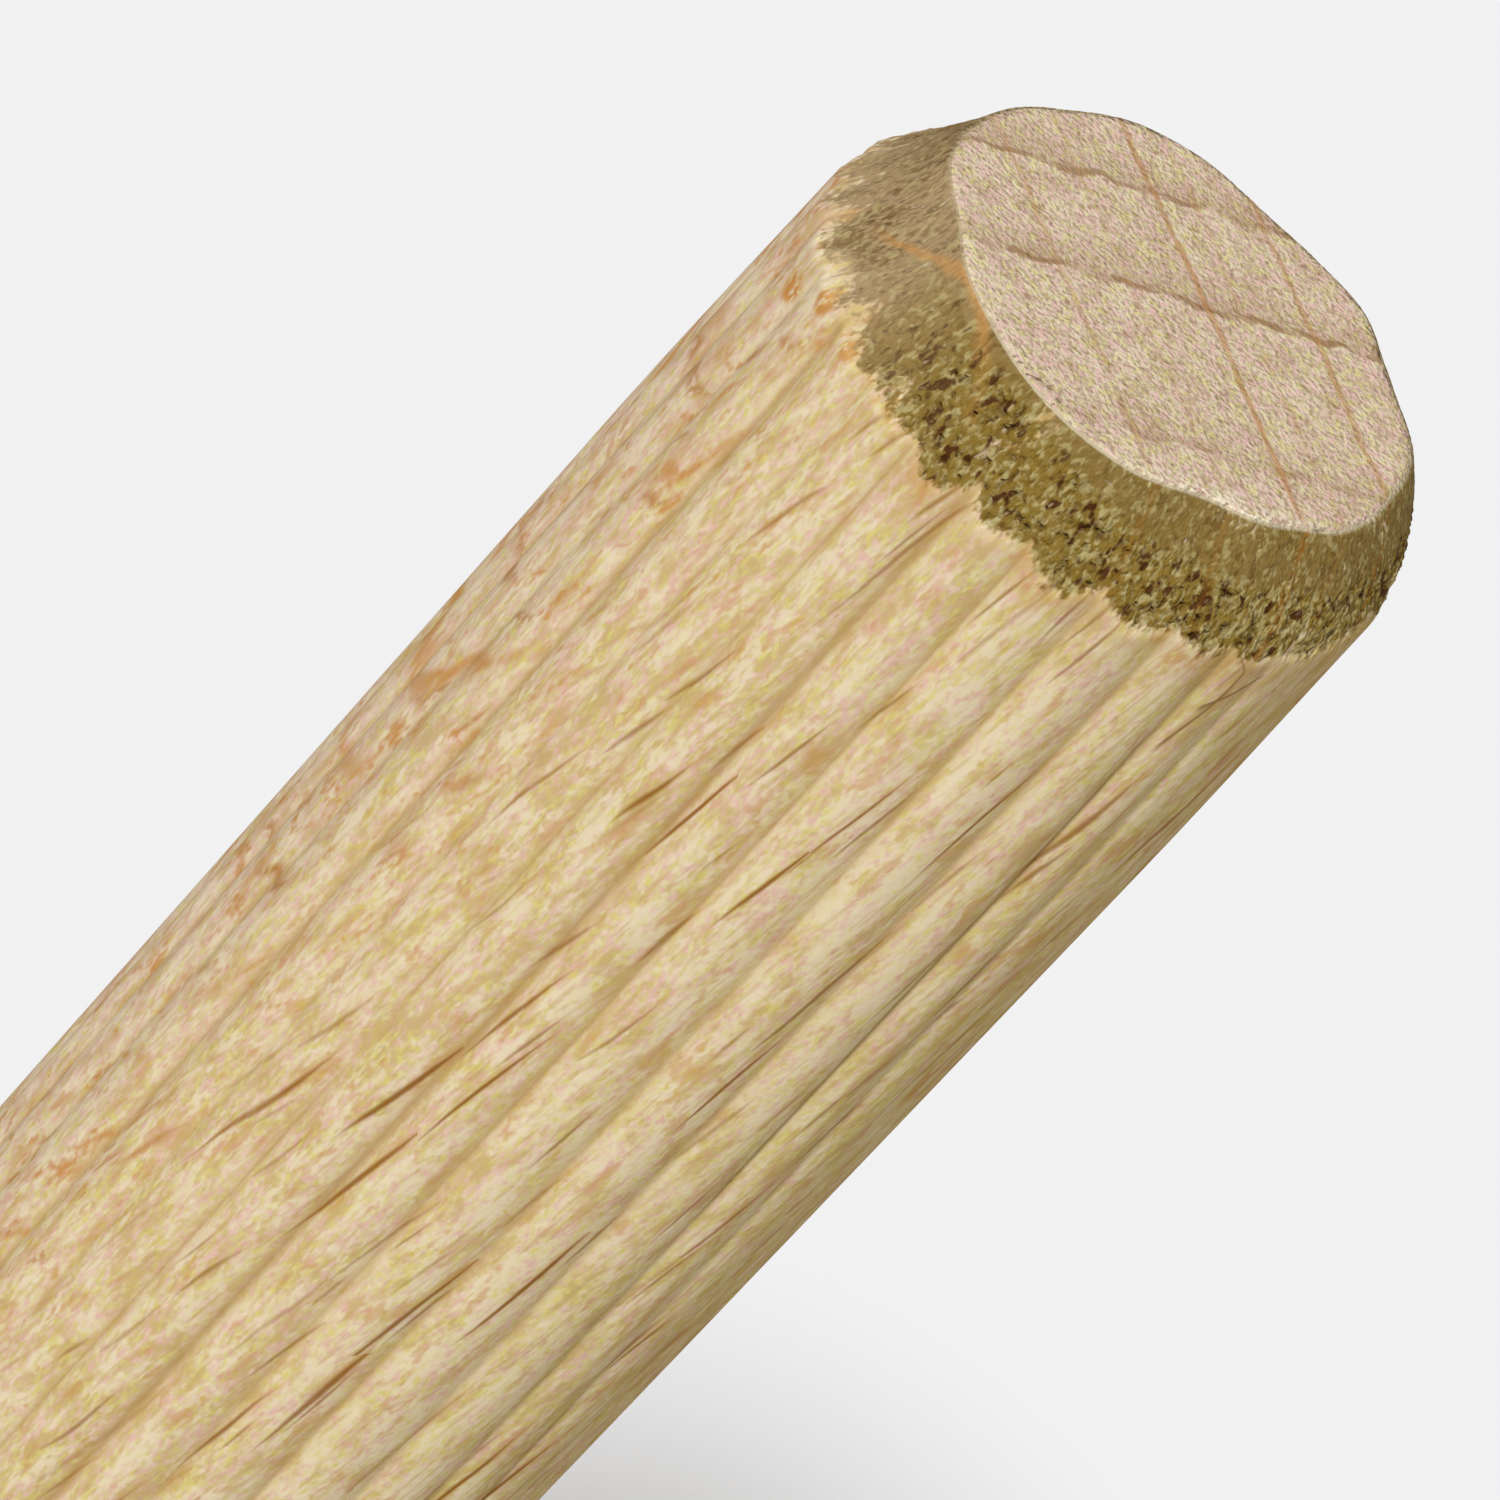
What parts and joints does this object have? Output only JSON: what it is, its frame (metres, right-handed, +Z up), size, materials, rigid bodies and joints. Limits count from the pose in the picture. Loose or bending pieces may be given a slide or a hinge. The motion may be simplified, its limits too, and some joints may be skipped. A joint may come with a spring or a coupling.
{
  "type": "fluted dowel pin",
  "caption": "Fluted beech dowel pin: a straight round wooden pin with lengthwise glue grooves and narrowed, flat ends.",
  "frame": {"origin": "centre of the lower end face, which the pin stands on", "axes": "+Z up along the pin's axis, with ridge crests on the X and Y axes"},
  "size_m": [0.008, 0.008, 0.04],
  "materials": {
    "beech": "bare, unfinished beech with open end grain"
  },
  "bodies": {
    "root": {"dowel_pin": "beech"}
  },
  "joints": []
}
